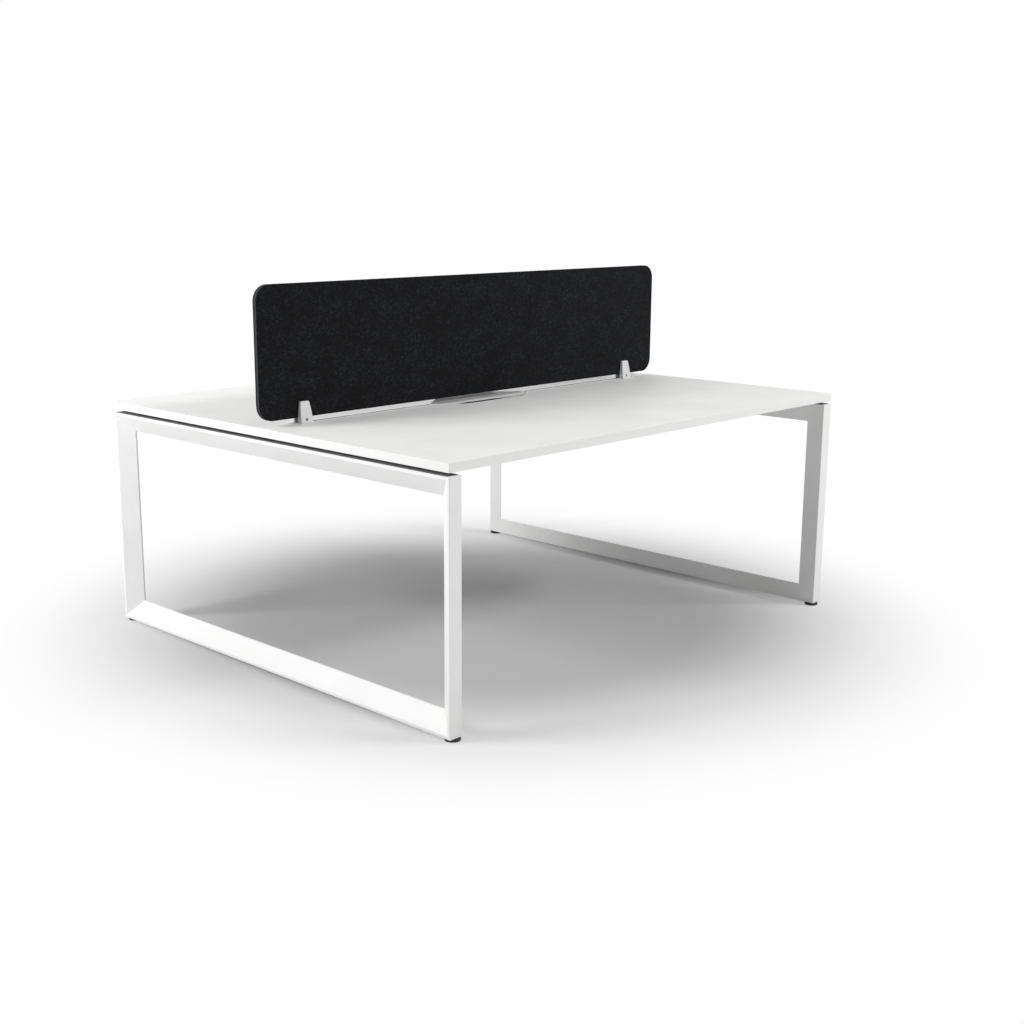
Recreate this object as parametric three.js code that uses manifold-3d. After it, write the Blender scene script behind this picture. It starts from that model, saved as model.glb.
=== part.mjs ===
// Benching desk for two: a pair of facing worktops on two bevelled steel end frames,
// tied by two beams, with a cable tray under the centre opening and a felt screen between the users.
// Millimetres. X runs along the desk, the front user sits at -Y, Z is up from the floor.
import * as THREE from 'three';
import { mergeVertices } from 'three/addons/utils/BufferGeometryUtils.js';
import Module from 'manifold-3d';

// Overall sizes
const deskLength = 1800;
const deskDepth = 1550;
const deskHeight = 735;

// Worktops
const topThickness = 25;
const topGap = 8;
const topCornerRadius = 2;
const recessLength = 296;
const recessDepth = 76;
const recessRadius = 12;

// End frames: a five-sided tube, flat towards the desk and sloped outside
const shadowGap = 10.5;
const frameLift = 9;
const tubeWidth = 60;
const tubeDepth = 44;
const outerLand = 9;
const innerLand = 6.5;
const tubeWall = 2;
const tubeEdgeRadius = 1.6;

// Levelling feet
const padRadius = 22;
const padChamfer = 1.5;
const padSocketDepth = 5;
const studRadius = 5;
const studHeight = 36;
const studTip = 1;
const footInsetX = 27;
const footInsetY = 18;
const footNutFlats = 17;
const footNutHeight = 8;

// Beams
const beamHeight = 60;
const beamThickness = 30;
const beamWall = 2;
const beamEdgeRadius = 3;
const beamOffset = 165;
const plateThickness = 5;
const plateLength = 112;
const plateMargin = 3;
const plateCornerRadius = 6;
const plateVentRadius = 9;
const plateBoltOffset = 38;

// Bolts through the beam plates
const boltRadius = 4;
const boltHeadRadius = 7;
const boltHeadHeight = 4.4;
const boltCrownRadius = 5;
const boltSocketRadius = 2.5;
const boltSocketDepth = 2.4;
const boltTail = 10;

// Tabs that carry the worktops on the frames
const tabThickness = 3;
const tabLeg = 50;
const tabDrop = 54;
const tabBendRadius = 2;
const sideTabWidth = 60;
const sideTabInset = 175;
const centreTabWidth = 160;
const centreTabScrewOffset = 50;
const tabScrewReach = 30;

// Wood screws through the tabs
const screwRadius = 2.25;
const screwHeadRadius = 4.5;
const screwHeadHeight = 3;
const screwDepth = 15;

// Cable tray
const trayLength = 1000;
const trayDepth = 80;
const trayGauge = 1.5;
const trayFlange = 20;
const trayBendRadius = 1.2;
const traySlotCount = 6;
const traySlotPitch = 150;
const traySlotLength = 84;
const traySlotWidth = 22;

// Screen, as long as the desk
const screenHeight = 386.5;
const screenThickness = 18;
const screenLift = 15.5;
const screenRadius = 46;
const feltThickness = 3;
const coreInset = 0.8;

// Screen brackets
const bracketInset = 157;
const cheekBase = 43;
const cheekTop = 33;
const cheekHeight = 62.5;
const cheekShoulder = 26;
const cheekFoot = 17;
const cheekTip = 6.5;
const cheekCornerRadius = 4;
const bracketScrewHeight = 9.5;
const bracketScrewRadius = 2.5;
const bracketScrewHead = 4;
const bracketScrewHeadHeight = 8;
const saddleWidth = 40;
const saddleEdgeRadius = 2;
const bracketStudRadius = 3;
const bracketStudReach = 18;
const clampWidth = 60;
const clampThickness = 3;
const clampCornerRadius = 5;
const clampNutFlats = 10;
const clampNutHeight = 6;

// Clearances
const seat = 0.3;
const mitreSetback = seat / Math.SQRT2;
const boltClearance = 0.5;
const screwClearance = 0.35;
const footClearance = 0.4;

// Facets
const curveSegments = 6;
const edgeSegments = 3;
const roundSides = 12;
const padSides = 28;
const cutPast = 1;

// Levels and planes worked out from the sizes above
const undersideZ = deskHeight - topThickness;
const frameTopZ = undersideZ - shadowGap;
const frameHeight = frameTopZ - frameLift;
const endX = deskLength / 2;
const frontY = deskDepth / 2;
const sideTabY = frontY - sideTabInset;
const bracketX = endX - bracketInset;
const railFaceX = endX - tubeDepth;
const railMiddleZ = frameTopZ - tubeWidth / 2;
const trayTopZ = undersideZ - seat;
const beamTopZ = trayTopZ - trayGauge - seat;
const beamBottomZ = beamTopZ - beamHeight;
const screenBottomZ = deskHeight + screenLift;
const bracketScrewZ = deskHeight + bracketScrewHeight;

const axisX = new THREE.Vector3(1, 0, 0);
const axisY = new THREE.Vector3(0, 1, 0);
const axisZ = new THREE.Vector3(0, 0, 1);
const backY = axisY.clone().negate();
const downZ = axisZ.clone().negate();

// Finishes
const whiteMelamine = { color: 0xf2f2f0, roughness: 0.45, metalness: 0 };
const whitePaint = { color: 0xf4f4f3, roughness: 0.4, metalness: 0.1 };
const blackPaint = { color: 0x1d1e20, roughness: 0.6, metalness: 0.2 };
const greyPaint = { color: 0x4a4b4e, roughness: 0.55, metalness: 0.3 };
const blackPlastic = { color: 0x151516, roughness: 0.6, metalness: 0 };
const zincSteel = { color: 0xa9adb0, roughness: 0.38, metalness: 0.9 };
const blackFelt = { color: 0x17181b, roughness: 0.95, metalness: 0 };
const boardCore = { color: 0x111113, roughness: 0.9, metalness: 0 };

const desk = new THREE.Group();

function addPiece(name, geometry, finish, parent = desk) {
  const piece = new THREE.Mesh(geometry, new THREE.MeshStandardMaterial(finish));
  piece.name = name;
  parent.add(piece);
  return piece;
}

// Joins and cuts
const wasm = await Module();
wasm.setup();

function toSolid(geometry) {
  const bare = geometry.clone();
  bare.deleteAttribute('normal');
  bare.deleteAttribute('uv');
  const merged = mergeVertices(bare);
  const mesh = new wasm.Mesh({
    numProp: 3,
    vertProperties: merged.attributes.position.array,
    triVerts: new Uint32Array(merged.index.array),
  });
  return new wasm.Manifold(mesh);
}

function toGeometry(solid) {
  const mesh = solid.getMesh();
  const geometry = new THREE.BufferGeometry();
  geometry.setAttribute('position', new THREE.BufferAttribute(mesh.vertProperties, 3));
  geometry.setIndex(new THREE.BufferAttribute(mesh.triVerts, 1));
  geometry.computeVertexNormals();
  return geometry;
}

function cut(geometry, tools) {
  const rest = tools.reduce((solid, tool) => solid.subtract(toSolid(tool)), toSolid(geometry));
  return toGeometry(rest);
}

function join(...geometries) {
  return toGeometry(geometries.map(toSolid).reduce((sum, solid) => sum.add(solid)));
}

// Outlines and solids

// A closed outline with each corner rounded by its own radius, or by one radius for all.
function roundedOutline(corners, radii) {
  const shape = new THREE.Shape();
  corners.forEach(([x, y], i) => {
    const corner = new THREE.Vector2(x, y);
    const before = new THREE.Vector2(...corners[(i + corners.length - 1) % corners.length]);
    const after = new THREE.Vector2(...corners[(i + 1) % corners.length]);
    const radius = Array.isArray(radii) ? radii[i] : radii;
    const wayIn = before.sub(corner).normalize();
    const wayOut = after.sub(corner).normalize();
    const halfAngle = Math.acos(wayIn.dot(wayOut)) / 2;
    const setback = radius / Math.tan(halfAngle);
    const start = corner.clone().addScaledVector(wayIn, setback);
    const end = corner.clone().addScaledVector(wayOut, setback);
    if (i === 0) shape.moveTo(start.x, start.y);
    else shape.lineTo(start.x, start.y);
    if (radius > 0) shape.quadraticCurveTo(corner.x, corner.y, end.x, end.y);
  });
  shape.closePath();
  return shape;
}

function rectangle(lowX, lowY, highX, highY, radius) {
  return roundedOutline([[lowX, lowY], [highX, lowY], [highX, highY], [lowX, highY]], radius);
}

function circle(x, y, radius) {
  return new THREE.Path().absarc(x, y, radius, 0, 2 * Math.PI);
}

function hexagon(flats) {
  const corners = [];
  for (let i = 0; i < 6; i += 1) {
    const angle = (i * Math.PI) / 3;
    const reach = flats / Math.sqrt(3);
    corners.push(new THREE.Vector2(reach * Math.cos(angle), reach * Math.sin(angle)));
  }
  return new THREE.Shape(corners);
}

// The convex outline moved in by one wall thickness.
function insetOutline(corners, wall) {
  const lines = corners.map(([x, y], i) => {
    const [nextX, nextY] = corners[(i + 1) % corners.length];
    const along = new THREE.Vector2(nextX - x, nextY - y).normalize();
    const inward = new THREE.Vector2(-along.y, along.x);
    return { along, point: new THREE.Vector2(x, y).addScaledVector(inward, wall) };
  });
  return lines.map((line, i) => {
    const last = lines[(i + lines.length - 1) % lines.length];
    const span = line.point.clone().sub(last.point);
    const reach = span.cross(line.along) / last.along.cross(line.along);
    const corner = last.point.clone().addScaledVector(last.along, reach);
    return [corner.x, corner.y];
  });
}

// The outline's own x and y run along u and v, and the solid grows along u cross v.
function extrude(shape, depth, u, v, origin, segments = curveSegments) {
  const geometry = new THREE.ExtrudeGeometry(shape, {
    depth,
    bevelEnabled: false,
    curveSegments: segments,
  });
  const along = new THREE.Vector3().crossVectors(u, v);
  return geometry.applyMatrix4(new THREE.Matrix4().makeBasis(u, v, along).setPosition(...origin));
}

// A radius-and-height profile turned about Z.
function revolve(profile, sides = roundSides) {
  const points = profile.map(([radius, height]) => new THREE.Vector2(radius, height));
  return new THREE.LatheGeometry(points, sides).rotateX(Math.PI / 2);
}

function rod(radius, length, axis, origin) {
  const geometry = new THREE.CylinderGeometry(radius, radius, length, roundSides);
  geometry.translate(0, length / 2, 0);
  const turn = new THREE.Quaternion().setFromUnitVectors(axisY, axis);
  return geometry.applyQuaternion(turn).translate(...origin);
}

// Worktops
const recessHalf = recessLength / 2;
const recessMouth = recessHalf + recessDepth;
const topEdgeY = topGap / 2;
const tabScrewX = railFaceX - seat - tabScrewReach;

function worktop() {
  const backEdge = -topEdgeY;
  const recessEdge = backEdge - recessDepth;
  const outline = roundedOutline([
    [-endX, -frontY],
    [endX, -frontY],
    [endX, backEdge],
    [recessMouth, backEdge],
    [recessHalf, recessEdge],
    [-recessHalf, recessEdge],
    [-recessMouth, backEdge],
    [-endX, backEdge],
  ], [
    topCornerRadius, topCornerRadius, topCornerRadius, recessRadius,
    recessRadius, recessRadius, recessRadius, topCornerRadius,
  ]);
  const board = extrude(outline, topThickness, axisX, axisY, [0, 0, undersideZ]);
  const pilots = [];
  for (const side of [-1, 1]) {
    for (const y of [-sideTabY, -centreTabScrewOffset]) {
      const mouth = [side * tabScrewX, y, undersideZ - cutPast];
      pilots.push(rod(screwRadius + screwClearance, screwDepth + 2 * cutPast, axisZ, mouth));
    }
  }
  return cut(board, pilots);
}

for (const [name, turn] of [['front_worktop', 0], ['rear_worktop', Math.PI]]) {
  const top = addPiece(name, worktop(), whiteMelamine);
  top.rotation.z = turn;
}

// End frames: u runs inwards from the frame's outer edge, v runs from the end towards the desk
const tubeCorners = [
  [0, 0],
  [outerLand, 0],
  [tubeWidth, tubeDepth - innerLand],
  [tubeWidth, tubeDepth],
  [0, tubeDepth],
];

// A tube whose ends are mitred at 45 degrees, so that four of them close a loop.
function mitredTube(length, u, origin) {
  const section = roundedOutline(tubeCorners, tubeEdgeRadius);
  const bore = insetOutline(tubeCorners, tubeWall).map(([x, y]) => new THREE.Vector2(x, y));
  section.holes.push(new THREE.Path(bore));
  const tube = extrude(section, length, axisX, axisY, [0, 0, 0], edgeSegments);
  const points = tube.attributes.position;
  for (let i = 0; i < points.count; i += 1) {
    const setback = points.getX(i) + mitreSetback;
    const end = points.getZ(i);
    points.setZ(i, end > length / 2 ? end - setback : end + setback);
  }
  const along = new THREE.Vector3().crossVectors(u, axisX);
  return tube.applyMatrix4(new THREE.Matrix4().makeBasis(u, axisX, along).setPosition(...origin));
}

function beamBoltYs() {
  return [-1, 1].flatMap((side) => [
    side * beamOffset - plateBoltOffset,
    side * beamOffset + plateBoltOffset,
  ]);
}

function addEndFrame(side, turn, frontName, rearName) {
  const frame = new THREE.Group();
  frame.rotation.z = turn;
  desk.add(frame);
  const topRail = mitredTube(deskDepth, downZ, [-endX, frontY, frameTopZ]);
  const boltHoles = beamBoltYs().map((y) => rod(
    boltRadius + boltClearance,
    tubeWall + 2 * cutPast,
    axisX,
    [-railFaceX - tubeWall - cutPast, y, railMiddleZ],
  ));
  addPiece(`${side}_top_rail`, cut(topRail, boltHoles), whitePaint, frame);
  const bottomRail = mitredTube(deskDepth, axisZ, [-endX, -frontY, frameLift]);
  const footHoles = [-1, 1].map((end) => rod(
    studRadius + footClearance,
    tubeWall + 2 * cutPast,
    axisZ,
    [-endX + footInsetX, end * (frontY - footInsetY), frameLift - cutPast],
  ));
  addPiece(`${side}_bottom_rail`, cut(bottomRail, footHoles), whitePaint, frame);
  const nearPost = mitredTube(frameHeight, axisY, [-endX, -frontY, frameTopZ]);
  addPiece(`${side}_${frontName}_post`, nearPost, whitePaint, frame);
  const farPost = mitredTube(frameHeight, backY, [-endX, frontY, frameLift]);
  addPiece(`${side}_${rearName}_post`, farPost, whitePaint, frame);
}

addEndFrame('left', 0, 'front', 'rear');
addEndFrame('right', Math.PI, 'rear', 'front');

// Levelling feet: pad and stud wind down out of a nut inside the bottom rail
const padHeight = frameLift - seat;
const padSocketZ = padHeight - padSocketDepth;
const footNutZ = frameLift + tubeWall + seat;

function footPad() {
  const socketRadius = studRadius + seat;
  return revolve([
    [0, 0],
    [padRadius - padChamfer, 0],
    [padRadius, padChamfer],
    [padRadius, padHeight - padChamfer / 2],
    [padRadius - padChamfer / 2, padHeight],
    [socketRadius, padHeight],
    [socketRadius, padSocketZ],
    [0, padSocketZ],
  ], padSides);
}

function footStud() {
  const bottom = padSocketZ + seat;
  const top = bottom + studHeight;
  return revolve([
    [0, bottom],
    [studRadius, bottom],
    [studRadius, top - studTip],
    [studRadius - studTip, top],
    [0, top],
  ]);
}

function footNut() {
  const outline = hexagon(footNutFlats);
  outline.holes.push(circle(0, 0, studRadius + footClearance));
  return extrude(outline, footNutHeight, axisX, axisY, [0, 0, footNutZ]);
}

for (const [end, x] of [['left', -1], ['right', 1]]) {
  for (const [side, y] of [['front', -1], ['rear', 1]]) {
    const foot = new THREE.Group();
    foot.position.set(x * (endX - footInsetX), y * (frontY - footInsetY), 0);
    desk.add(foot);
    addPiece(`${side}_${end}_foot_pad`, footPad(), blackPlastic, foot);
    addPiece(`${side}_${end}_foot_stud`, footStud(), zincSteel, foot);
    addPiece(`${side}_${end}_foot_nut`, footNut(), zincSteel, foot);
  }
}

// Beams: a rectangular tube welded to a plate at each end, bolted to the rails' flat faces
const plateFaceX = railFaceX - seat;
const plateInnerX = plateFaceX - plateThickness;
const plateBottomZ = railMiddleZ - tubeWidth / 2 + plateMargin;
const plateTopZ = beamTopZ - plateMargin;

function beam() {
  const halfThickness = beamThickness / 2;
  const section = rectangle(-halfThickness, beamBottomZ, halfThickness, beamTopZ, beamEdgeRadius);
  section.holes.push(rectangle(
    -halfThickness + beamWall,
    beamBottomZ + beamWall,
    halfThickness - beamWall,
    beamTopZ - beamWall,
    beamEdgeRadius - beamWall,
  ));
  const weld = plateThickness / 2;
  const length = 2 * (plateInnerX + weld);
  const tube = extrude(section, length, axisY, axisZ, [-length / 2, 0, 0], edgeSegments);
  const halfPlate = plateLength / 2;
  const outline = rectangle(-halfPlate, plateBottomZ, halfPlate, plateTopZ, plateCornerRadius);
  for (const side of [-1, 1]) {
    outline.holes.push(circle(side * plateBoltOffset, railMiddleZ, boltRadius + boltClearance));
  }
  outline.holes.push(circle(0, railMiddleZ, plateVentRadius));
  const plates = [-plateFaceX, plateInnerX].map(
    (x) => extrude(outline, plateThickness, axisY, axisZ, [x, 0, 0]),
  );
  return join(tube, ...plates);
}

function beamBolt() {
  const length = plateThickness + 2 * seat + tubeWall + boltTail;
  return revolve([
    [0, length],
    [boltRadius, length],
    [boltRadius, 0],
    [boltHeadRadius, 0],
    [boltHeadRadius, -boltHeadHeight / 2],
    [boltCrownRadius, -boltHeadHeight],
    [boltSocketRadius, -boltHeadHeight],
    [boltSocketRadius, boltSocketDepth - boltHeadHeight],
    [0, boltSocketDepth - boltHeadHeight],
  ].reverse());
}

for (const [side, y] of [['front', -beamOffset], ['rear', beamOffset]]) {
  const bar = addPiece(`${side}_beam`, beam(), whitePaint);
  bar.position.y = y;
  for (const [end, x] of [['left', -1], ['right', 1]]) {
    [-1, 1].forEach((offset, i) => {
      const bolt = addPiece(`${side}_beam_${end}_bolt_${i + 1}`, beamBolt(), zincSteel);
      bolt.position.set(x * (plateInnerX - seat), y + offset * plateBoltOffset, railMiddleZ);
      bolt.rotation.y = (x * Math.PI) / 2;
    });
  }
}

// Tabs: bent strips welded to the top rails, one under each outer corner and one across the gap
const tabTopZ = undersideZ - seat;
const tabFaceX = -railFaceX + seat;

function tab(width, screwYs) {
  const inner = tabFaceX + tabThickness;
  const under = tabTopZ - tabThickness;
  const bend = tabBendRadius + tabThickness;
  const section = roundedOutline([
    [tabFaceX, tabTopZ - tabDrop],
    [inner, tabTopZ - tabDrop],
    [inner, under],
    [tabFaceX + tabLeg, under],
    [tabFaceX + tabLeg, tabTopZ],
    [tabFaceX, tabTopZ],
  ], [0, 0, tabBendRadius, 0, 0, bend]);
  const strip = extrude(section, width, axisX, axisZ, [0, width / 2, 0], edgeSegments);
  const holes = screwYs.map((y) => rod(
    screwRadius + boltClearance,
    tabThickness + 2 * cutPast,
    axisZ,
    [tabFaceX + tabScrewReach, y, under - cutPast],
  ));
  return cut(strip, holes);
}

function tabScrew() {
  const head = -tabThickness - seat;
  return revolve([
    [0, head - screwHeadHeight],
    [screwHeadRadius / 2, head - screwHeadHeight],
    [screwHeadRadius, head - screwHeadHeight / 2],
    [screwHeadRadius, head],
    [screwRadius, head],
    [screwRadius, screwDepth - screwRadius],
    [0, screwDepth],
  ], roundSides / 2);
}

for (const [end, turn] of [['left', 0], ['right', Math.PI]]) {
  const tabs = new THREE.Group();
  tabs.rotation.z = turn;
  desk.add(tabs);
  const [near, far] = turn === 0 ? ['front', 'rear'] : ['rear', 'front'];
  const centre = centreTabScrewOffset;
  const nearTab = addPiece(`${near}_${end}_tab`, tab(sideTabWidth, [0]), whitePaint, tabs);
  nearTab.position.y = -sideTabY;
  const farTab = addPiece(`${far}_${end}_tab`, tab(sideTabWidth, [0]), whitePaint, tabs);
  farTab.position.y = sideTabY;
  addPiece(`centre_${end}_tab`, tab(centreTabWidth, [-centre, centre]), whitePaint, tabs);
  const screws = [
    [`${near}_${end}_tab_screw`, -sideTabY],
    [`${far}_${end}_tab_screw`, sideTabY],
    [`centre_${end}_tab_${near}_screw`, -centre],
    [`centre_${end}_tab_${far}_screw`, centre],
  ];
  for (const [name, y] of screws) {
    const screw = addPiece(name, tabScrew(), zincSteel, tabs);
    screw.position.set(tabFaceX + tabScrewReach, y, tabTopZ);
  }
}

// Cable tray: a folded channel whose flanges lie on the two beams
function cableTray() {
  const wall = beamOffset - beamThickness / 2 - seat;
  const inside = wall - trayGauge;
  const lip = wall + trayFlange;
  const floor = trayTopZ - trayDepth;
  const rightHalf = [
    [inside, floor + trayGauge],
    [inside, trayTopZ],
    [lip, trayTopZ],
    [lip, trayTopZ - trayGauge],
    [wall, trayTopZ - trayGauge],
    [wall, floor],
  ];
  const bends = [trayBendRadius, trayBendRadius, 0, 0, trayBendRadius / 2, 2 * trayBendRadius];
  const leftHalf = rightHalf.map(([y, z]) => [-y, z]).reverse();
  const section = roundedOutline([...rightHalf, ...leftHalf], [...bends, ...bends.slice().reverse()]);
  const channel = extrude(section, trayLength, axisY, axisZ, [-trayLength / 2, 0, 0], edgeSegments);
  const slots = [];
  for (let i = 0; i < traySlotCount; i += 1) {
    const x = (i - (traySlotCount - 1) / 2) * traySlotPitch;
    const half = traySlotLength / 2;
    const side = traySlotWidth / 2;
    const outline = rectangle(x - half, -side, x + half, side, side);
    slots.push(extrude(outline, trayGauge + 2 * cutPast, axisX, axisY, [0, 0, floor - cutPast]));
  }
  return cut(channel, slots);
}

addPiece('cable_tray', cableTray(), blackPaint);

// Screen: a board faced with felt on both sides
const coreThickness = screenThickness - 2 * (feltThickness + seat);

function screenSheet(thickness, inset) {
  const half = endX - inset;
  const low = screenBottomZ + inset;
  const high = screenBottomZ + screenHeight - inset;
  const outline = new THREE.Shape();
  const radius = screenRadius - inset;
  outline.absarc(half - radius, low + radius, radius, -Math.PI / 2, 0);
  outline.absarc(half - radius, high - radius, radius, 0, Math.PI / 2);
  outline.absarc(-half + radius, high - radius, radius, Math.PI / 2, Math.PI);
  outline.absarc(-half + radius, low + radius, radius, Math.PI, 1.5 * Math.PI);
  return extrude(outline, thickness, axisX, axisZ, [0, thickness / 2, 0], 2 * curveSegments);
}

addPiece('screen_core', screenSheet(coreThickness, coreInset), boardCore);
for (const [side, y] of [['front', -1], ['rear', 1]]) {
  const felt = addPiece(`screen_${side}_felt`, screenSheet(feltThickness, 0), blackFelt);
  felt.position.y = (y * (screenThickness - feltThickness)) / 2;
}

// Screen brackets: two tapered cheeks screwed to a saddle, whose stud passes between the worktops
const saddleHeight = screenLift - 2 * seat;
const cheekInnerY = screenThickness / 2 + seat;
const clampTopZ = undersideZ - seat;

// The cheek stands against the screen's front face; its outer face leans in towards the tip.
function cheek() {
  const base = cheekBase / 2;
  const tip = cheekTop / 2;
  const outline = new THREE.Shape();
  outline.moveTo(-base, 0);
  outline.lineTo(base, 0);
  outline.lineTo(base, cheekShoulder / 2);
  outline.quadraticCurveTo(base, cheekShoulder, tip, cheekHeight - cheekCornerRadius);
  outline.quadraticCurveTo(tip, cheekHeight, tip - cheekCornerRadius, cheekHeight);
  outline.lineTo(-tip + cheekCornerRadius, cheekHeight);
  outline.quadraticCurveTo(-tip, cheekHeight, -tip, cheekHeight - cheekCornerRadius);
  outline.quadraticCurveTo(-base, cheekShoulder, -base, cheekShoulder / 2);
  outline.holes.push(circle(0, bracketScrewHeight - seat, bracketScrewHead + boltClearance));
  const plate = extrude(outline, cheekFoot, axisX, axisZ, [0, 0, 0]);
  const points = plate.attributes.position;
  for (let i = 0; i < points.count; i += 1) {
    const lean = (points.getZ(i) / cheekHeight) * (cheekFoot - cheekTip);
    if (points.getY(i) < -cheekFoot / 2) points.setY(i, points.getY(i) + lean);
  }
  return plate.translate(0, -cheekInnerY, deskHeight + seat);
}

function saddle() {
  const halfWidth = saddleWidth / 2;
  const halfDepth = screenThickness / 2;
  const bottom = deskHeight + seat;
  const outline = rectangle(-halfWidth, -halfDepth, halfWidth, halfDepth, saddleEdgeRadius);
  const block = extrude(outline, saddleHeight, axisX, axisY, [0, 0, bottom], edgeSegments);
  const studEnd = undersideZ - bracketStudReach;
  const stud = rod(bracketStudRadius, bottom + cutPast - studEnd, axisZ, [0, 0, studEnd]);
  const crossHole = rod(
    bracketScrewRadius + boltClearance,
    screenThickness + 2 * cutPast,
    axisY,
    [0, -halfDepth - cutPast, bracketScrewZ],
  );
  return cut(join(block, stud), [crossHole]);
}

// A sleeve screw with a head sunk in each cheek.
function bracketScrew() {
  const reach = cheekInnerY;
  const head = reach + bracketScrewHeadHeight;
  const half = [
    [bracketScrewRadius, reach],
    [bracketScrewHead, reach],
    [bracketScrewHead, head],
    [0, head],
  ];
  const otherHalf = half.map(([radius, height]) => [radius, -height]).reverse();
  return revolve([...otherHalf, ...half]).rotateX(Math.PI / 2).translate(0, 0, bracketScrewZ);
}

function clampPlate() {
  const half = clampWidth / 2;
  const bore = bracketStudRadius + boltClearance;
  const outline = rectangle(-half, -half, half, half, clampCornerRadius);
  outline.holes.push(circle(0, 0, bore));
  const bottom = clampTopZ - clampThickness;
  const plate = extrude(outline, clampThickness, axisX, axisY, [0, 0, bottom]);
  const nutOutline = hexagon(clampNutFlats);
  nutOutline.holes.push(circle(0, 0, bore));
  const weld = clampThickness / 2;
  const nut = extrude(nutOutline, clampNutHeight + weld, axisX, axisY, [0, 0, bottom - clampNutHeight]);
  return join(plate, nut);
}

for (const [end, x] of [['left', -bracketX], ['right', bracketX]]) {
  const bracket = new THREE.Group();
  bracket.position.x = x;
  desk.add(bracket);
  addPiece(`${end}_bracket_saddle`, saddle(), greyPaint, bracket);
  addPiece(`${end}_bracket_front_cheek`, cheek(), whitePaint, bracket);
  const rearCheek = addPiece(`${end}_bracket_rear_cheek`, cheek(), whitePaint, bracket);
  rearCheek.rotation.z = Math.PI;
  addPiece(`${end}_bracket_screw`, bracketScrew(), greyPaint, bracket);
  addPiece(`${end}_bracket_clamp_plate`, clampPlate(), zincSteel, bracket);
}

export default desk;
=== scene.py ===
import bpy
import bmesh
import math
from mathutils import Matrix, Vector


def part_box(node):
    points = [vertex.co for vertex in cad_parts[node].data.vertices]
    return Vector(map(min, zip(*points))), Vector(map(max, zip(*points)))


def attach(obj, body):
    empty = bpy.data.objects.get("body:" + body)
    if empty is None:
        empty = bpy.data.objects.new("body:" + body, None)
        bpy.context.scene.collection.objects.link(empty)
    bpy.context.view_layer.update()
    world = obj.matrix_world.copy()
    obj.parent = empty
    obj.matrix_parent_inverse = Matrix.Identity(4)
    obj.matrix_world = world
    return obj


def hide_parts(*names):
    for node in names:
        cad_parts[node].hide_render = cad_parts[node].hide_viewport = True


# A benching desk for two, dressed over its CAD frame: metres, +Z up, front at -Y
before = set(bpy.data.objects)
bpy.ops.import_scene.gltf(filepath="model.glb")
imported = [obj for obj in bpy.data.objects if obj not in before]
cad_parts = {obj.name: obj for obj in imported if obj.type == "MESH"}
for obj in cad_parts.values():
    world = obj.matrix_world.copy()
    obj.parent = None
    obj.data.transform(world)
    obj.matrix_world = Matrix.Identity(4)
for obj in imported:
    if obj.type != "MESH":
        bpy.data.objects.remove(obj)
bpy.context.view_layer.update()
print("frame loaded:", len(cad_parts), "nodes")

near = 0.0005           # metres within which a corner counts as lying on a plane
upShare = 0.9           # share along Z from which a direction counts as upright
halfTurn = math.pi      # the desk's two sides and two ends are half a turn apart
shading = {"smoothUpTo": 32, "faceWeight": 100}      # degrees, and how far broad faces win


# small tools
def linear(hexText):      # sRGB hex to the linear colour that a socket takes
    channels = [int(hexText[i:i + 2], 16) / 255 for i in (1, 3, 5)]
    return [c / 12.92 if c <= 0.04045 else ((c + 0.055) / 1.055) ** 2.4 for c in channels] + [1.0]


def addNode(tree, kind, settings=None, links=None):
    node = tree.nodes.new(kind)
    for key, value in (settings or {}).items():
        if key == "stops":        # a colour ramp's marks, each a position and a hex colour
            marks = node.color_ramp.elements
            while len(marks) < len(value):
                marks.new(0.5)
            for mark, (position, hexText) in zip(marks, value):
                mark.position = position
                mark.color = linear(hexText)
        elif isinstance(key, int) or key in node.inputs:
            node.inputs[key].default_value = value
        else:
            setattr(node, key, value)
    for key, (source, output) in (links or {}).items():
        tree.links.new(source.outputs[output], node.inputs[key])
    return node


def clearSelection():
    if bpy.context.object and bpy.context.object.mode != "OBJECT":
        bpy.ops.object.mode_set(mode="OBJECT")
    bpy.ops.object.select_all(action="DESELECT")


def editNow():
    bpy.ops.object.transform_apply(location=True, rotation=True, scale=True)
    bpy.ops.object.mode_set(mode="EDIT")


def addBlock(place, size):
    clearSelection()
    bpy.ops.mesh.primitive_cube_add(size=1, location=place, scale=size)
    editNow()


def pick(kind, test):
    bpy.ops.mesh.select_mode(type=kind)
    bpy.ops.mesh.select_all(action="DESELECT")
    mesh = bpy.context.object.data
    bm = bmesh.from_edit_mesh(mesh)
    parts = {"VERT": bm.verts, "EDGE": bm.edges, "FACE": bm.faces}[kind]
    for part in parts:
        if test(part):
            part.select_set(True)
    bm.select_flush_mode()
    bmesh.update_edit_mesh(mesh)


def middle(edge):
    return (edge.verts[0].co + edge.verts[1].co) / 2


def isUpright(edge):
    along = edge.verts[1].co - edge.verts[0].co
    return abs(along.z) > upShare * along.length


def isSharp(edge, degrees):
    return edge.calc_face_angle(0.0) > math.radians(degrees)


def bevel(width, steps):
    bpy.ops.mesh.bevel(offset=width, offset_type="OFFSET", segments=steps, profile=0.5, affect="EDGES")


def moveOut(shift):       # extrudes what is selected
    bpy.ops.mesh.extrude_region_move(TRANSFORM_OT_translate={"value": shift})


def evenShade():
    bpy.ops.object.shade_smooth_by_angle(angle=math.radians(shading["smoothUpTo"]))
    bpy.ops.object.modifier_add(type="WEIGHTED_NORMAL")      # keeps the broad faces flat
    even = bpy.context.object.modifiers[-1]
    even.weight = shading["faceWeight"]
    even.keep_sharp = True
    bpy.ops.object.modifier_apply(modifier=even.name)


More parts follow.
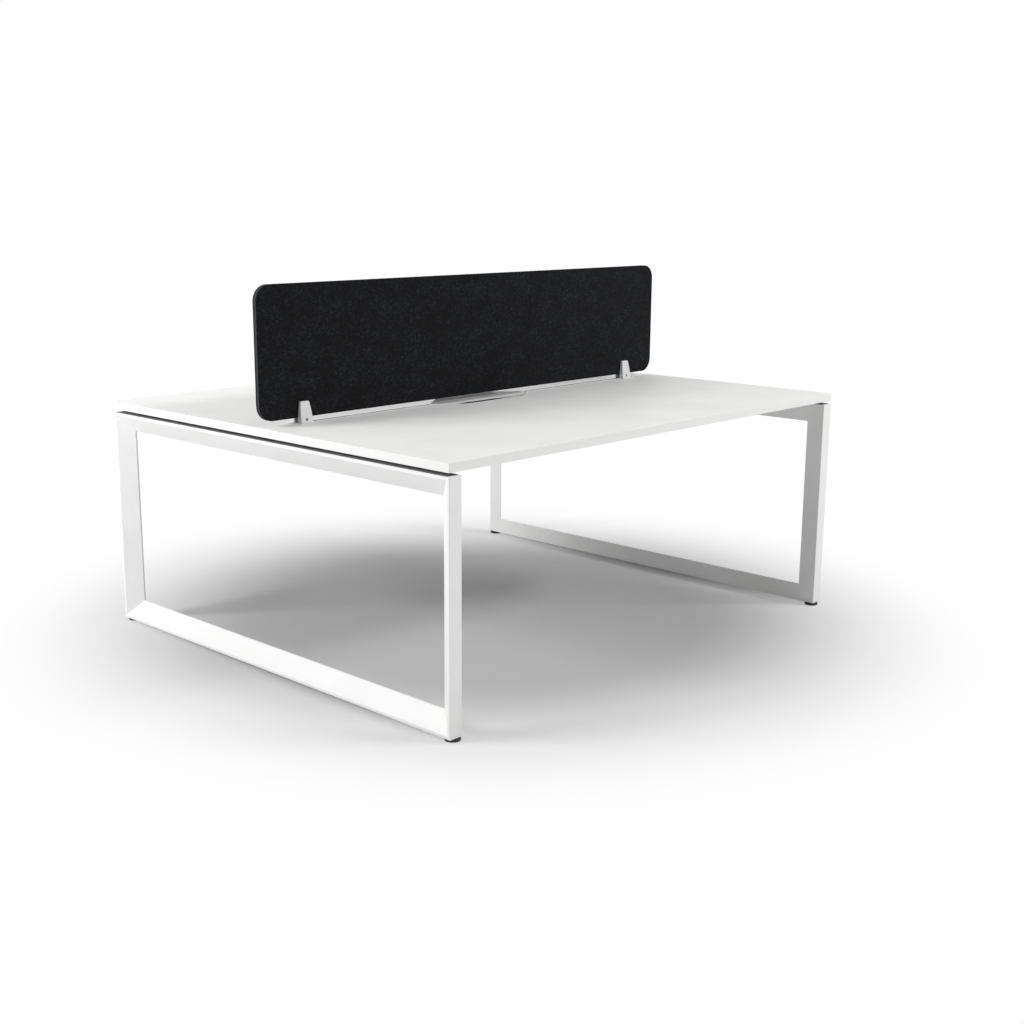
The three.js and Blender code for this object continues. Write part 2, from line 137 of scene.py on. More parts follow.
def closeUp(name):
    bpy.ops.mesh.select_all(action="SELECT")
    bpy.ops.mesh.normals_make_consistent(inside=False)
    bpy.ops.object.mode_set(mode="OBJECT")
    piece = bpy.context.object
    piece.name = name
    piece.data.name = name
    evenShade()
    return piece


def copyOf(source, name, turn=0.0, shift=(0, 0, 0)):
    clearSelection()
    source.select_set(True)
    bpy.context.view_layer.objects.active = source
    bpy.ops.object.duplicate()
    piece = bpy.context.object
    piece.name = name
    piece.data.name = name
    bpy.ops.object.mode_set(mode="EDIT")
    bpy.ops.mesh.select_all(action="SELECT")
    if turn:
        bpy.ops.transform.rotate(value=turn, orient_axis="Z", center_override=(0, 0, 0))
    bpy.ops.transform.translate(value=shift)
    bpy.ops.object.mode_set(mode="OBJECT")
    return piece


def dress(piece, body, finishes, nodes):
    piece.data.materials.clear()
    for finish in finishes:
        piece.data.materials.append(finish)
    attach(piece, body)
    if nodes:
        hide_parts(*nodes)


# materials
def newFinish(name):
    finish = bpy.data.materials.new(name)
    finish.use_nodes = True
    tree = finish.node_tree
    tree.nodes.clear()
    place = addNode(tree, "ShaderNodeTexCoord")
    return finish, tree, place


melamineLook = {
    "dark": "#EDEDEC", "light": "#F3F3F2",
    "cloudMm": 160,      # slow drift of the paper's tone across a board
    "pebbleMm": 3.0,     # pressed pebble is about 0.5 mm, drawn coarser so that it shows
    "pebbleBump": {"Strength": 0.08, "Distance": 0.0002},
    "rough": (0.5, 0.6),
}


# Melamine on chipboard, pressed against a pearl plate: soft even sheen, no grain
def makeMelamine(name, look):
    finish, tree, place = newFinish(name)
    cloud = addNode(tree, "ShaderNodeTexNoise",
                    {"Scale": 1000 / look["cloudMm"], "Detail": 3.0, "Roughness": 0.5},
                    {"Vector": (place, "Object")})
    tone = addNode(tree, "ShaderNodeValToRGB",
                   {"stops": [(0.3, look["dark"]), (0.7, look["light"])]},
                   {"Fac": (cloud, "Fac")})
    pebble = addNode(tree, "ShaderNodeTexNoise",
                     {"Scale": 1000 / look["pebbleMm"], "Detail": 2.0, "Roughness": 0.6},
                     {"Vector": (place, "Object")})
    sheen = addNode(tree, "ShaderNodeMapRange",
                    {"To Min": look["rough"][0], "To Max": look["rough"][1]},
                    {"Value": (pebble, "Fac")})
    press = addNode(tree, "ShaderNodeBump", look["pebbleBump"], {"Height": (pebble, "Fac")})
    shader = addNode(tree, "ShaderNodeBsdfPrincipled", {"IOR": 1.5, "Specular IOR Level": 0.25},
                     {"Base Color": (tone, "Color"), "Roughness": (sheen, "Result"),
                      "Normal": (press, "Normal")})
    addNode(tree, "ShaderNodeOutputMaterial", links={"Surface": (shader, 0)})
    return finish


# orange peel is about 1.5 mm across, drawn coarser so that it shows
frameLook = {"dark": "#EEEEED", "light": "#F4F4F4", "cloudMm": 220, "peelMm": 5.0, "rough": (0.38, 0.5)}
bracketLook = {"dark": "#D9D9D9", "light": "#E1E1E1", "cloudMm": 60, "peelMm": 3.0, "rough": (0.36, 0.46)}
saddleLook = {"dark": "#424346", "light": "#4C4D51", "cloudMm": 40, "peelMm": 3.0, "rough": (0.45, 0.58)}
trayLook = {"dark": "#1A1B1D", "light": "#212225", "cloudMm": 120, "peelMm": 4.0, "rough": (0.5, 0.62)}
peelBump = {"Strength": 0.4, "Distance": 0.0006}


# Powder coat baked on steel: thick even paint with a faint orange peel
def makePowderCoat(name, look):
    finish, tree, place = newFinish(name)
    cloud = addNode(tree, "ShaderNodeTexNoise",
                    {"Scale": 1000 / look["cloudMm"], "Detail": 3.0, "Roughness": 0.55},
                    {"Vector": (place, "Object")})
    tone = addNode(tree, "ShaderNodeValToRGB",
                   {"stops": [(0.3, look["dark"]), (0.7, look["light"])]},
                   {"Fac": (cloud, "Fac")})
    peel = addNode(tree, "ShaderNodeTexNoise",
                   {"Scale": 1000 / look["peelMm"], "Detail": 2.0, "Roughness": 0.5},
                   {"Vector": (place, "Object")})
    sheen = addNode(tree, "ShaderNodeMapRange",
                    {"To Min": look["rough"][0], "To Max": look["rough"][1]},
                    {"Value": (peel, "Fac")})
    skin = addNode(tree, "ShaderNodeBump", peelBump, {"Height": (peel, "Fac")})
    shader = addNode(tree, "ShaderNodeBsdfPrincipled", {"IOR": 1.5},
                     {"Base Color": (tone, "Color"), "Roughness": (sheen, "Result"),
                      "Normal": (skin, "Normal")})
    addNode(tree, "ShaderNodeOutputMaterial", links={"Surface": (shader, 0)})
    return finish


feltLook = {
    "deep": "#050506", "mid": "#0B0B0D", "fleck": "#222529", "bloom": "#AEB4BE",
    "stretch": (0.7, 1.0, 1.0),      # the fibres lie more along the screen than up it
    "blotchMm": 60,      # needled fibre lies in loose patches
    "matMm": 7,          # tufts inside a patch
    "fibreMm": 2.6,      # single fibres are 0.03 mm, drawn coarser so that they show
    "blotchShare": 0.25, "matShare": 0.75,
    "napBump": {"Strength": 0.6, "Distance": 0.0012},
}


# Needled polyester felt: near black, matt and mottled, with a few paler fibres on top
def makeFelt(name, look):
    finish, tree, place = newFinish(name)
    stretch = addNode(tree, "ShaderNodeMapping", {"Scale": look["stretch"]},
                      {"Vector": (place, "Object")})
    blotch = addNode(tree, "ShaderNodeTexNoise",
                     {"Scale": 1000 / look["blotchMm"], "Detail": 4.0, "Roughness": 0.6},
                     {"Vector": (stretch, "Vector")})
    mat = addNode(tree, "ShaderNodeTexNoise",
                  {"Scale": 1000 / look["matMm"], "Detail": 5.0, "Roughness": 0.7},
                  {"Vector": (stretch, "Vector")})
    fibre = addNode(tree, "ShaderNodeTexNoise",
                    {"Scale": 1000 / look["fibreMm"], "Detail": 2.0, "Roughness": 0.7},
                    {"Vector": (stretch, "Vector")})
    patches = addNode(tree, "ShaderNodeMath", {"operation": "MULTIPLY", 1: look["blotchShare"]},
                      {0: (blotch, "Fac")})
    spread = addNode(tree, "ShaderNodeMath", {"operation": "MULTIPLY_ADD", 1: look["matShare"]},
                     {0: (mat, "Fac"), 2: (patches, 0)})
    tone = addNode(tree, "ShaderNodeValToRGB",
                   {"stops": [(0.4, look["deep"]), (0.5, look["mid"]), (0.66, look["fleck"])]},
                   {"Fac": (spread, 0)})
    loft = addNode(tree, "ShaderNodeMath", {"operation": "ADD"},
                   {0: (mat, "Fac"), 1: (fibre, "Fac")})
    nap = addNode(tree, "ShaderNodeBump", look["napBump"], {"Height": (loft, 0)})
    shader = addNode(tree, "ShaderNodeBsdfPrincipled",
                     {"Roughness": 0.95, "IOR": 1.45, "Specular IOR Level": 0.2,
                      "Sheen Weight": 0.03, "Sheen Roughness": 0.6,
                      "Sheen Tint": linear(look["bloom"])},
                     {"Base Color": (tone, "Color"), "Normal": (nap, "Normal")})
    addNode(tree, "ShaderNodeOutputMaterial", links={"Surface": (shader, 0)})
    return finish


zincLook = {"dark": "#9CA0A3", "light": "#B9BDC0", "spangleMm": 4.0, "rough": (0.28, 0.42)}


# Zinc plated steel: bright grey metal with a slightly cloudy plate
def makeZinc(name, look):
    finish, tree, place = newFinish(name)
    spangle = addNode(tree, "ShaderNodeTexNoise",
                      {"Scale": 1000 / look["spangleMm"], "Detail": 3.0},
                      {"Vector": (place, "Object")})
    tone = addNode(tree, "ShaderNodeValToRGB",
                   {"stops": [(0.35, look["dark"]), (0.65, look["light"])]},
                   {"Fac": (spangle, "Fac")})
    sheen = addNode(tree, "ShaderNodeMapRange",
                    {"To Min": look["rough"][0], "To Max": look["rough"][1]},
                    {"Value": (spangle, "Fac")})
    shader = addNode(tree, "ShaderNodeBsdfPrincipled", {"Metallic": 1.0},
                     {"Base Color": (tone, "Color"), "Roughness": (sheen, "Result")})
    addNode(tree, "ShaderNodeOutputMaterial", links={"Surface": (shader, 0)})
    return finish


# nylon and ABS have a satin face, the edging is duller, and the grey strip that paints the shade in the
# gap over each top rail takes almost no shine
nylonLook = {"dark": "#121213", "light": "#1C1C1E", "grainMm": 1.5, "rough": (0.45, 0.6)}
edgeBandLook = {"dark": "#EEEEED", "light": "#F2F2F1", "grainMm": 4.0, "rough": (0.4, 0.5)}
edgingLook = {"dark": "#0E0F11", "light": "#17181B", "grainMm": 2.0, "rough": (0.7, 0.85)}
# painted shade: this grey stands for the shadow in the gap between each top rail and the worktops
paintedShadeStripLook = {"dark": "#6A6A6C", "light": "#757577", "grainMm": 2.5, "rough": (0.85, 0.95)}
grainBump = {"Strength": 0.15, "Distance": 0.0002}


# Plastic, moulded, extruded or foamed: one even colour under a fine grain
def makePlastic(name, look):
    finish, tree, place = newFinish(name)
    grain = addNode(tree, "ShaderNodeTexNoise",
                    {"Scale": 1000 / look["grainMm"], "Detail": 3.0},
                    {"Vector": (place, "Object")})
    tone = addNode(tree, "ShaderNodeValToRGB",
                   {"stops": [(0.3, look["dark"]), (0.7, look["light"])]},
                   {"Fac": (grain, "Fac")})
    sheen = addNode(tree, "ShaderNodeMapRange",
                    {"To Min": look["rough"][0], "To Max": look["rough"][1]},
                    {"Value": (grain, "Fac")})
    spark = addNode(tree, "ShaderNodeBump", grainBump, {"Height": (grain, "Fac")})
    shader = addNode(tree, "ShaderNodeBsdfPrincipled", {"IOR": 1.5},
                     {"Base Color": (tone, "Color"), "Roughness": (sheen, "Result"),
                      "Normal": (spark, "Normal")})
    addNode(tree, "ShaderNodeOutputMaterial", links={"Surface": (shader, 0)})
    return finish


whiteMelamine = makeMelamine("white_melamine_board", melamineLook)
whiteEdgeBand = makePlastic("white_abs_edge_band", edgeBandLook)
whitePowder = makePowderCoat("white_powder_coat", frameLook)
paleBracket = makePowderCoat("pale_grey_powder_coat", bracketLook)
greySaddle = makePowderCoat("dark_grey_powder_coat", saddleLook)
blackTray = makePowderCoat("black_powder_coat", trayLook)
blackFelt = makeFelt("black_polyester_felt", feltLook)
blackEdging = makePlastic("black_felt_edging", edgingLook)
zincPlate = makeZinc("zinc_plated_steel", zincLook)
blackNylon = makePlastic("black_moulded_nylon", nylonLook)
paintedShadeGrey = makePlastic("painted_shade_grey_strip", paintedShadeStripLook)
print("materials ready")


# CAD nodes that keep their shape
def finishFor(node):
    if node == "cable_tray":
        return blackTray
    if node.endswith(("_saddle", "_bracket_screw")):
        return greySaddle
    if "_cheek" in node:
        return paleBracket
    if node.endswith(("_screw", "_nut", "_stud", "_clamp_plate")) or "_bolt_" in node:
        return zincPlate
    if node == "screen_core":
        return blackEdging
    return whitePowder


for name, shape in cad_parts.items():
    shape.data.materials.clear()
    shape.data.materials.append(finishFor(name))
print("carried-over nodes painted")


# worktops; here and below, a round is its width in metres and its steps
topSizes = {
    "recessHalf": 0.132, "mouthHalf": 0.224, "recessDepth": 0.068,
    "recessRound": (0.004, 5), "cornerRound": (0.002, 4), "edgeRound": (0.0009, 3),
    "sharpFrom": 60,       # degrees from which an edge is rounded
    "bandBelow": 0.5,      # a face whose normal has less of Z than this is edge band
}


def modelWorktop():
    low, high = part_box("front_worktop")
    addBlock((low + high) / 2, high - low)
    half = topSizes["recessHalf"]
    mouth = topSizes["mouthHalf"]
    for x in (-mouth, -half, half, mouth):
        bpy.ops.mesh.select_all(action="SELECT")
        bpy.ops.mesh.bisect(plane_co=(x, 0, 0), plane_no=(1, 0, 0))
    pick("VERT", lambda v: abs(v.co.x) < half + near and v.co.y > high.y - near)
    bpy.ops.transform.translate(value=(0, -topSizes["recessDepth"], 0))
    pick("EDGE", lambda e: isUpright(e) and abs(middle(e).x) < mouth + near
         and middle(e).y > low.y + near)
    bevel(*topSizes["recessRound"])
    pick("EDGE", lambda e: isUpright(e) and abs(middle(e).x) > high.x - near)
    bevel(*topSizes["cornerRound"])
    pick("EDGE", lambda e: isSharp(e, topSizes["sharpFrom"]) and not isUpright(e))
    bevel(*topSizes["edgeRound"])
    return closeUp("front_board")


frontBoard = modelWorktop()
rearBoard = copyOf(frontBoard, "rear_board", turn=halfTurn)
for board, node in ((frontBoard, "front_worktop"), (rearBoard, "rear_worktop")):
    dress(board, "desk", [whiteMelamine, whiteEdgeBand], [node])
    for face in board.data.polygons:      # the cut edges carry a band of their own
        face.material_index = 1 if abs(face.normal.z) < topSizes["bandBelow"] else 0
print("worktops modelled")


# end frames: a flat rim outside, a slope, and a narrow land at the window
frameSizes = {"rim": 0.009, "width": 0.060, "innerLand": 0.0045, "edgeRound": (0.0016, 3),
              "sharpFrom": 20}


def modelEndFrame():
    low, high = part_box("left_top_rail")
    outer, inner = low.x, high.x
    bottom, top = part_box("left_bottom_rail")[0].z, high.z
    land = frameSizes["innerLand"]
    clearSelection()
    bpy.ops.mesh.primitive_plane_add(size=1, location=(outer, 0, (bottom + top) / 2),
                                     rotation=(0, -math.pi / 2, 0))
    bpy.context.object.scale = (top - bottom, high.y - low.y, 1)
    editNow()
    pick("FACE", lambda f: True)
    bpy.ops.mesh.inset(thickness=frameSizes["rim"], depth=0)
    bpy.ops.mesh.inset(thickness=frameSizes["width"] - frameSizes["rim"], depth=0)
    bpy.ops.transform.translate(value=(inner - outer - land, 0, 0))
    moveOut((land, 0, 0))
    bpy.ops.mesh.delete(type="ONLY_FACE")
    pick("EDGE", lambda e: e.is_boundary and middle(e).x < outer + near)
    bpy.ops.mesh.extrude_edges_move(TRANSFORM_OT_translate={"value": (inner - outer, 0, 0)})
    pick("EDGE", lambda e: e.is_boundary)
    bpy.ops.mesh.bridge_edge_loops()
    bpy.ops.mesh.select_all(action="SELECT")
    bpy.ops.mesh.normals_make_consistent(inside=False)
    pick("EDGE", lambda e: isSharp(e, frameSizes["sharpFrom"]))
    bevel(*frameSizes["edgeRound"])
    return closeUp("left_end_frame")


leftFrame = modelEndFrame()
rightFrame = copyOf(leftFrame, "right_end_frame", turn=halfTurn)
for side, loop in (("left", leftFrame), ("right", rightFrame)):
    tubes = [f"{side}_{tube}" for tube in ("top_rail", "bottom_rail", "front_post", "rear_post")]
    dress(loop, "desk", [whitePowder], tubes)
print("end frames modelled")


# thin trim: a grey strip on each top rail that stands for the shadow in the gap under the worktops
# (painted shade), a plug in each end of the joint between the worktops, felt seals along the joint, and
# two slim lips across the cable opening
shadeStripSizes = {"margin": 0.003, "endGap": 0.010, "height": 0.0014, "edgeRound": (0.0004, 2)}
plugSizes = {"length": 0.014, "width": 0.0074, "drop": 0.0006, "edgeRound": (0.0004, 2)}
sealSizes = {"recessGap": 0.004, "bracketGap": 0.004, "width": 0.0076, "height": 0.006,
             "drop": 0.0001, "edgeRound": (0.0003, 2)}
lipSizes = {"inset": 0.016, "width": 0.003, "height": 0.006, "drop": 0.0004, "edgeRound": (0.0005, 2)}


# painted shade: a grey strip laid on the top rail where the gap under the worktop holds only shadow
def modelShadeStrip():
    low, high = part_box("left_top_rail")
    wide = high.x - low.x - 2 * shadeStripSizes["margin"]
    length = high.y - low.y - 2 * shadeStripSizes["endGap"]
    tall = shadeStripSizes["height"]
    addBlock(((low.x + high.x) / 2, 0, high.z + tall / 2), (wide, length, tall))
    pick("EDGE", lambda e: middle(e).z > high.z + near)
    bevel(*shadeStripSizes["edgeRound"])
    return closeUp("left_painted_shade_strip")


def modelPlug():
    low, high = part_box("front_worktop")
    crown = high.z - plugSizes["drop"]
    tall = high.z - low.z - 2 * plugSizes["drop"]
    size = (plugSizes["length"], plugSizes["width"], tall)
    addBlock((low.x + size[0] / 2, 0, (low.z + high.z) / 2), size)
    pick("EDGE", lambda e: middle(e).x < low.x + near or middle(e).z > crown - near)
    bevel(*plugSizes["edgeRound"])
    return closeUp("left_joint_plug")


def modelSeal():
    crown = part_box("front_worktop")[1].z - sealSizes["drop"]
    start = topSizes["mouthHalf"] + sealSizes["recessGap"]
    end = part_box("right_bracket_saddle")[0].x - sealSizes["bracketGap"]
    size = (end - start, sealSizes["width"], sealSizes["height"])
    addBlock(((start + end) / 2, 0, crown - size[2] / 2), size)
    pick("EDGE", lambda e: middle(e).z > crown - near and abs(middle(e).y) > near)
    bevel(*sealSizes["edgeRound"])
    return closeUp("right_joint_seal")


def modelLip():
    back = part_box("front_worktop")[1]
    crown = back.z - lipSizes["drop"]
    taper = (topSizes["mouthHalf"] - topSizes["recessHalf"]) / topSizes["recessDepth"]
    half = topSizes["mouthHalf"] - taper * lipSizes["inset"]
    size = (2 * half, lipSizes["width"], lipSizes["height"])
    addBlock((0, back.y - lipSizes["inset"], crown - size[2] / 2), size)
    pick("EDGE", lambda e: middle(e).z > crown - near and abs(middle(e).x) < near)
    bevel(*lipSizes["edgeRound"])
    return closeUp("front_slot_lip")


trim = [
    (modelShadeStrip(), "right_painted_shade_strip", "foot_plastic", paintedShadeGrey),
    (modelPlug(), "right_joint_plug", "worktop_melamine", whiteEdgeBand),
    (modelSeal(), "left_joint_seal", "screen_felt", blackFelt),
    (modelLip(), "rear_slot_lip", "worktop_melamine", whiteEdgeBand),
]
for piece, twinName, slotName, finish in trim:
    for part in (piece, copyOf(piece, twinName, turn=halfTurn)):
        dress(part, "desk", [finish], [])
print("trim modelled")


# levelling feet
padSizes = {"sides": 56, "rimRound": (0.0016, 4), "topInset": 0.006, "topSink": 0.0008,
            "soleInset": 0.003, "soleSink": 0.0006, "sharpFrom": 60}
threadSizes = {"sides": 20, "pitch": 0.0015, "depth": 0.0006}


def modelPad():
    low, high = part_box("front_left_foot_pad")
    centre = (low + high) / 2
    radius = (high.x - low.x) / 2
    clearSelection()
    bpy.ops.mesh.primitive_cylinder_add(vertices=padSizes["sides"], radius=radius,
                                        depth=high.z - low.z, location=centre)
    editNow()
    pick("FACE", lambda f: f.normal.z > upShare)
    bpy.ops.mesh.inset(thickness=padSizes["topInset"], depth=0)
    moveOut((0, 0, -padSizes["topSink"]))
    pick("FACE", lambda f: f.normal.z < -upShare)
    bpy.ops.mesh.inset(thickness=padSizes["soleInset"], depth=0)
    moveOut((0, 0, padSizes["soleSink"]))
    pick("EDGE", lambda e: isSharp(e, padSizes["sharpFrom"]) and not isUpright(e)
         and (middle(e) - centre).xy.length > radius - near)
    bevel(*padSizes["rimRound"])
    return closeUp("front_left_pad")


def modelStud():
    low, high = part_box("front_left_foot_stud")
    radius = (high.x - low.x) / 2
    start = ((low.x + high.x) / 2, (low.y + high.y) / 2, low.z)
    clearSelection()
    bpy.ops.mesh.primitive_circle_add(vertices=threadSizes["sides"], radius=radius,
                                      fill_type="NGON", location=start)
    editNow()
    bpy.ops.mesh.select_all(action="SELECT")
    turns = int((high.z - low.z) / threadSizes["pitch"])
    ratio = (radius - threadSizes["depth"]) / radius
    for step in range(2 * turns):      # in to the thread's root, then out to its crest
        moveOut((0, 0, threadSizes["pitch"] / 2))
        size = ratio if step % 2 == 0 else 1 / ratio
        bpy.ops.transform.resize(value=(size, size, 1), center_override=start)
    bpy.ops.mesh.select_all(action="SELECT")
    bpy.ops.mesh.fill_holes(sides=0)
    return closeUp("front_left_stud")


pads = {"front_left": modelPad()}
studs = {"front_left": modelStud()}
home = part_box("front_left_foot_pad")[0]
for corner in ("front_right", "rear_left", "rear_right"):
    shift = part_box(f"{corner}_foot_pad")[0] - home
    pads[corner] = copyOf(pads["front_left"], f"{corner}_pad", shift=shift)
    studs[corner] = copyOf(studs["front_left"], f"{corner}_stud", shift=shift)
for corner in pads:
    dress(pads[corner], f"{corner}_foot", [blackNylon], [f"{corner}_foot_pad"])
    dress(studs[corner], f"{corner}_foot", [zincPlate], [f"{corner}_foot_stud"])
print("feet modelled")


# felt screen
screenSizes = {"cornerRound": 0.046, "cornerSteps": 14, "pressedEdge": (0.0014, 4), "sharpFrom": 60}


def modelFelt():
    low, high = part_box("screen_front_felt")
    clearSelection()
    bpy.ops.mesh.primitive_plane_add(size=1, location=(0, low.y, (low.z + high.z) / 2),
                                     rotation=(math.pi / 2, 0, 0))
    bpy.context.object.scale = (high.x - low.x, high.z - low.z, 1)
    editNow()
    bpy.ops.mesh.select_all(action="SELECT")
    bpy.ops.mesh.bevel(offset=screenSizes["cornerRound"], offset_type="OFFSET",
                       segments=screenSizes["cornerSteps"], affect="VERTICES")
    bpy.ops.mesh.select_all(action="SELECT")
    moveOut((0, high.y - low.y, 0))
    bpy.ops.mesh.select_all(action="SELECT")
    bpy.ops.mesh.fill_holes(sides=0)
    bpy.ops.mesh.normals_make_consistent(inside=False)
    pick("EDGE", lambda e: isSharp(e, screenSizes["sharpFrom"]) and middle(e).y < low.y + near)
    bevel(*screenSizes["pressedEdge"])
    return closeUp("front_felt")


frontFelt = modelFelt()
rearFelt = copyOf(frontFelt, "rear_felt", turn=halfTurn)
dress(frontFelt, "desk", [blackFelt], ["screen_front_felt"])
dress(rearFelt, "desk", [blackFelt], ["screen_rear_felt"])
print("felt faces modelled")


# screen brackets: a cheek narrows in a curve from its shoulder to its tip
cheekSizes = {"tipHalf": 0.0165, "shoulder": 0.026, "tipCorner": (0.004, 5), "tipDepth": 0.0065,
              "levels": 6, "edgeRound": (0.0008, 3), "sharpFrom": 40}
holeSizes = {"radius": 0.0045, "height": 0.0092, "sides": 32, "drillLength": 0.05}


def modelCheek():
    low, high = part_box("left_bracket_front_cheek")
    centre = (low + high) / 2
    base, tip = (high.x - low.x) / 2, cheekSizes["tipHalf"]
    addBlock(centre, high - low)
    pick("VERT", lambda v: v.co.z > high.z - near and v.co.y < centre.y)
    bpy.ops.transform.translate(value=(0, high.y - low.y - cheekSizes["tipDepth"], 0))
    bend = cheekSizes["shoulder"]
    start, end = bend / 2, high.z - low.z - cheekSizes["tipCorner"][0]
    widths = []
    for step in range(cheekSizes["levels"]):
        t = step / (cheekSizes["levels"] - 1)
        level = low.z + start * (1 - t) ** 2 + 2 * t * (1 - t) * bend + end * t * t
        widths.append((level, base - (base - tip) * t * t))
        bpy.ops.mesh.select_all(action="SELECT")
        bpy.ops.mesh.bisect(plane_co=(0, 0, level), plane_no=(0, 0, 1))
    widths.append((high.z, tip))
    for level, half in widths:
        pick("VERT", lambda v: abs(v.co.z - level) < near)
        bpy.ops.transform.resize(value=(half / base, 1, 1), center_override=(centre.x, 0, 0))
    pick("EDGE", lambda e: middle(e).z > high.z - near and abs(middle(e).x - centre.x) > near)
    bevel(*cheekSizes["tipCorner"])
    pick("EDGE", lambda e: isSharp(e, cheekSizes["sharpFrom"]) and middle(e).y < high.y - near)
    bevel(*cheekSizes["edgeRound"])
    cheek = closeUp("left_front_cheek")
    drillHole(cheek, (centre.x, centre.y, low.z + holeSizes["height"]))
    return cheek


def drillHole(cheek, place):
    bpy.ops.object.select_all(action="DESELECT")
    bpy.ops.mesh.primitive_cylinder_add(vertices=holeSizes["sides"], radius=holeSizes["radius"],
                                        depth=holeSizes["drillLength"], location=place,
                                        rotation=(math.pi / 2, 0, 0))
    drill = bpy.context.object
    bpy.context.view_layer.objects.active = cheek
    hole = cheek.modifiers.new("screw_hole", "BOOLEAN")
    hole.operation = "DIFFERENCE"
    hole.object = drill
    bpy.ops.object.modifier_apply(modifier=hole.name)
    bpy.data.objects.remove(drill)
    cheek.select_set(True)
    evenShade()


cheeks = {"left_front": modelCheek()}
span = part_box("right_bracket_front_cheek")[0].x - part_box("left_bracket_front_cheek")[0].x
cheeks["right_front"] = copyOf(cheeks["left_front"], "right_front_cheek", shift=(span, 0, 0))
cheeks["right_rear"] = copyOf(cheeks["left_front"], "right_rear_cheek", turn=halfTurn)
cheeks["left_rear"] = copyOf(cheeks["right_front"], "left_rear_cheek", turn=halfTurn)
for place, cheek in cheeks.items():
    end, side = place.split("_")
    dress(cheek, "desk", [paleBracket], [f"{end}_bracket_{side}_cheek"])
print("brackets modelled")


# floor, light and camera
def directView(tree):      # 1 for what the camera sees, also in a mirror or through glass
    path = addNode(tree, "ShaderNodeLightPath")
    seen = addNode(tree, "ShaderNodeMath", {"operation": "MAXIMUM"},
                   {0: (path, "Is Camera Ray"), 1: (path, "Is Glossy Ray")})
    return addNode(tree, "ShaderNodeMath", {"operation": "MAXIMUM"},
                   {0: (seen, 0), 1: (path, "Is Transmission Ray")})


# between these distances from the middle, in metres, the painted shade on the paper fades from grey to
# white, and the paper turns plain white to the camera
floorLookWithPaintedShade = {"size": 60, "middle": "#BCBCBC", "edge": "#F0F0F0", "clearFrom": 0.7, "clearTo": 1.75}


# Matt studio paper: painted grey under the desk as painted shade, on top of the shadow it takes there,
# and white further out
def makeFloorWithPaintedShade():
    clearSelection()
    bpy.ops.mesh.primitive_plane_add(size=floorLookWithPaintedShade["size"], location=(0, 0, 0))
    floor = bpy.context.object
    floor.name = "studio_floor"
    finish, tree, place = newFinish("studio_paper_with_painted_shade")
    away = addNode(tree, "ShaderNodeVectorMath", {"operation": "LENGTH"}, {0: (place, "Object")})
    fade = addNode(tree, "ShaderNodeMapRange",
                   {"interpolation_type": "SMOOTHSTEP", "From Min": floorLookWithPaintedShade["clearFrom"],
                    "From Max": floorLookWithPaintedShade["clearTo"]}, {"Value": (away, "Value")})
    mix = addNode(tree, "ShaderNodeMath", {"operation": "MULTIPLY"},
                  {0: (fade, "Result"), 1: (directView(tree), 0)})
    # painted shade: the paper's own colour darkens to grey towards the middle, under the desk
    tone = addNode(tree, "ShaderNodeValToRGB",
                   {"stops": [(0.0, floorLookWithPaintedShade["middle"]), (1.0, floorLookWithPaintedShade["edge"])]},
                   {"Fac": (fade, "Result")})
    paper = addNode(tree, "ShaderNodeBsdfDiffuse", links={"Color": (tone, "Color")})
    white = addNode(tree, "ShaderNodeEmission", {"Strength": 1.0})
    blend = addNode(tree, "ShaderNodeMixShader", links={0: (mix, 0), 1: (paper, 0), 2: (white, 0)})
    addNode(tree, "ShaderNodeOutputMaterial", links={"Surface": (blend, 0)})
    floor.data.materials.append(finish)


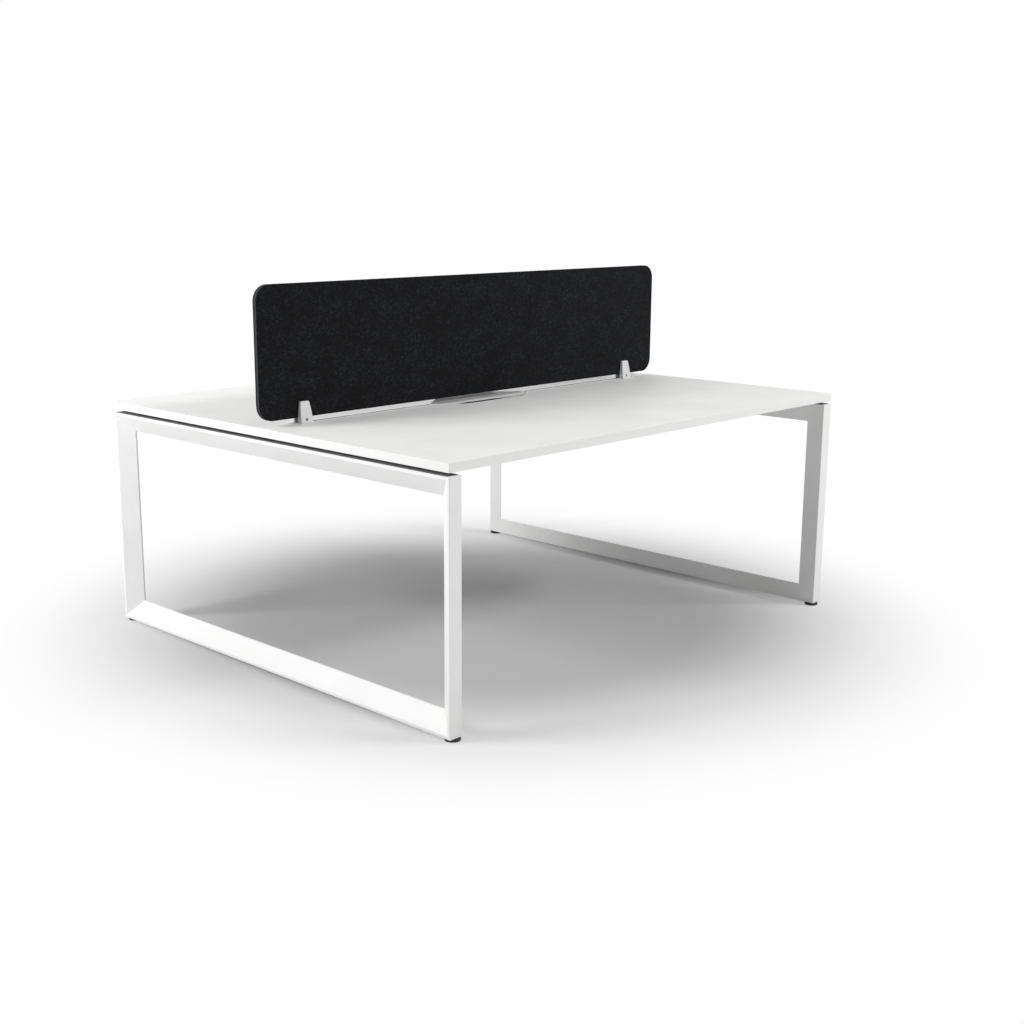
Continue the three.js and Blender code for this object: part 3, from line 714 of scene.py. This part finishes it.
lampSet = {
    "left_softbox": {"at": (-4.55, 2.0, 2.95), "aim": (0, 0, 0.6), "size": (2.0, 1.9), "watts": 195},
    "front_strip": {"at": (4.0, -6.0, 5.3), "aim": (0, 0, 0.73), "size": (3.0, 0.5), "watts": 330},
    "low_strip": {"at": (4.0, -6.0, 1.75), "aim": (0, 0, 0.73), "size": (3.0, 0.4), "watts": 30},
    "top_softbox": {"at": (0, 0, 4.6), "aim": (0, 0, 0), "size": (2.6, 2.6), "watts": 24},
    "back_fill": {"at": (3.4, 4.6, 3.0), "aim": (0, 0, 0.6), "size": (3.0, 3.0), "watts": 20},
}
skyLevel = 0.27


def makeLights():
    for name, lamp in lampSet.items():
        clearSelection()
        bpy.ops.object.light_add(type="AREA", location=lamp["at"])
        light = bpy.context.object
        light.name = name
        light.data.shape = "RECTANGLE"
        light.data.size, light.data.size_y = lamp["size"]
        light.data.energy = lamp["watts"]
        look = Vector(lamp["aim"]) - Vector(lamp["at"])
        light.rotation_euler = look.to_track_quat("-Z", "Y").to_euler()
    world = bpy.data.worlds.new("studio_air")
    bpy.context.scene.world = world
    world.use_nodes = True
    tree = world.node_tree
    tree.nodes.clear()
    glow = addNode(tree, "ShaderNodeBackground", {"Color": linear("#FFFFFF"), "Strength": skyLevel})
    white = addNode(tree, "ShaderNodeBackground", {"Color": linear("#FFFFFF"), "Strength": 1.0})
    blend = addNode(tree, "ShaderNodeMixShader",
                    links={0: (directView(tree), 0), 1: (glow, 0), 2: (white, 0)})
    addNode(tree, "ShaderNodeOutputWorld", links={"Surface": (blend, 0)})


# degrees for the angles, millimetres for the lens and the sensor
shotSizes = {"at": (-3.2228, -3.1510, 1.3578), "azimuth": 44.763, "pitch": 12.597,
             "lens": 48.35, "sensor": 36, "shiftX": 0.0410, "shiftY": -0.0010}


def makeCamera():
    clearSelection()
    bpy.ops.object.camera_add(location=shotSizes["at"])
    camera = bpy.context.object
    camera.name = "shot"
    turn, drop = math.radians(shotSizes["azimuth"]), math.radians(shotSizes["pitch"])
    look = Vector((math.cos(turn) * math.cos(drop), math.sin(turn) * math.cos(drop), -math.sin(drop)))
    camera.rotation_euler = look.to_track_quat("-Z", "Y").to_euler()
    camera.data.sensor_width = shotSizes["sensor"]
    camera.data.lens = shotSizes["lens"]
    camera.data.shift_x = shotSizes["shiftX"]
    camera.data.shift_y = shotSizes["shiftY"]
    bpy.context.scene.camera = camera


makeFloorWithPaintedShade()
makeLights()
makeCamera()
bpy.context.scene.view_settings.view_transform = "Standard"
print("studio ready")
